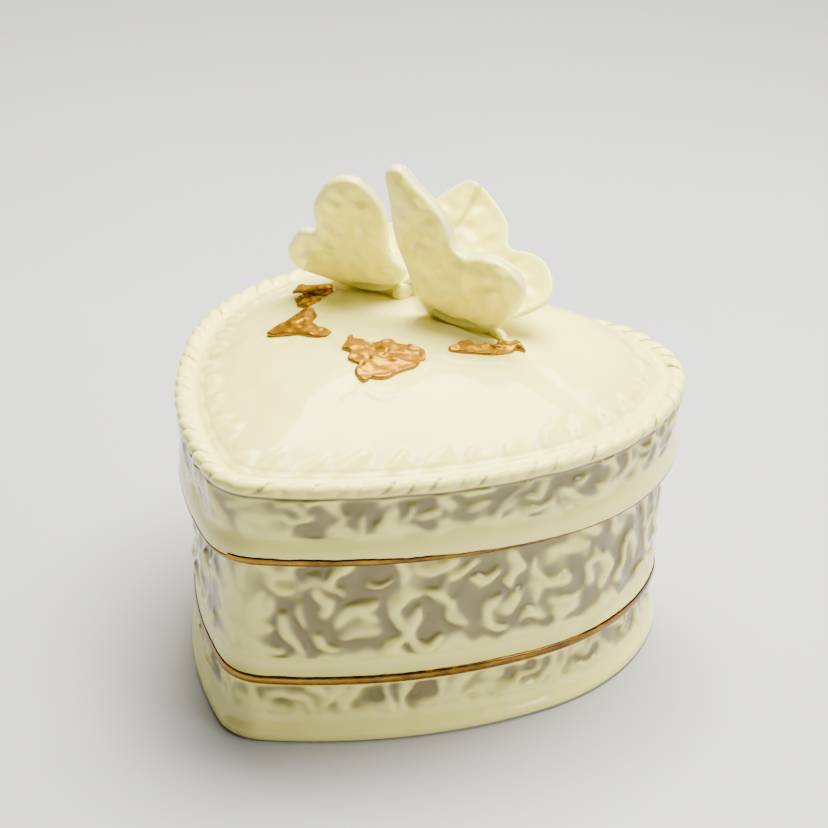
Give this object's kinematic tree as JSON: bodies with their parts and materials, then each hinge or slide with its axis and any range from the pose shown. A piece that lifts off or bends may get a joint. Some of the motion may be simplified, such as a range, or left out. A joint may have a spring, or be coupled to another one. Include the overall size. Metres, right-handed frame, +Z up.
{
  "type": "heart-shaped trinket box",
  "caption": "Heart-shaped glazed porcelain trinket box with a lift-off domed lid that carries two butterflies and gilded leaves.",
  "frame": {"origin": "on the table under the middle of the outline", "axes": "+Z up, the point of the heart towards -Y, its two lobes towards +Y, +X to the right"},
  "size_m": [0.1046, 0.1068, 0.1054],
  "materials": {
    "ivory_glaze": "glossy ivory glaze over soft moulded relief",
    "wing_glaze": "glossy ivory glaze, thin and slightly translucent",
    "gilt_line": "hand-painted burnished gilding",
    "leaf_gold": "hand-painted gilding with thin and bare spots"
  },
  "bodies": {
    "box": {"box_body": "ivory_glaze", "box_gilt_band": "gilt_line"},
    "lid": {"lid_shell": "ivory_glaze", "lid_gilt_line": "gilt_line", "left_butterfly_body": "wing_glaze", "left_wing_front": "wing_glaze", "left_wing_rear": "wing_glaze", "right_butterfly_body": "wing_glaze", "right_wing_front": "wing_glaze", "right_wing_rear": "wing_glaze", "leaf_left_upper": "leaf_gold", "leaf_left_middle": "leaf_gold", "leaf_left_long": "leaf_gold", "leaf_front": "leaf_gold", "leaf_right": "leaf_gold"}
  },
  "joints": [
    {"name": "lid_lift", "type": "slide", "parent": "box", "child": "lid", "axis": [0, 0, 1], "range_m": [0, 0.06]}
  ]
}
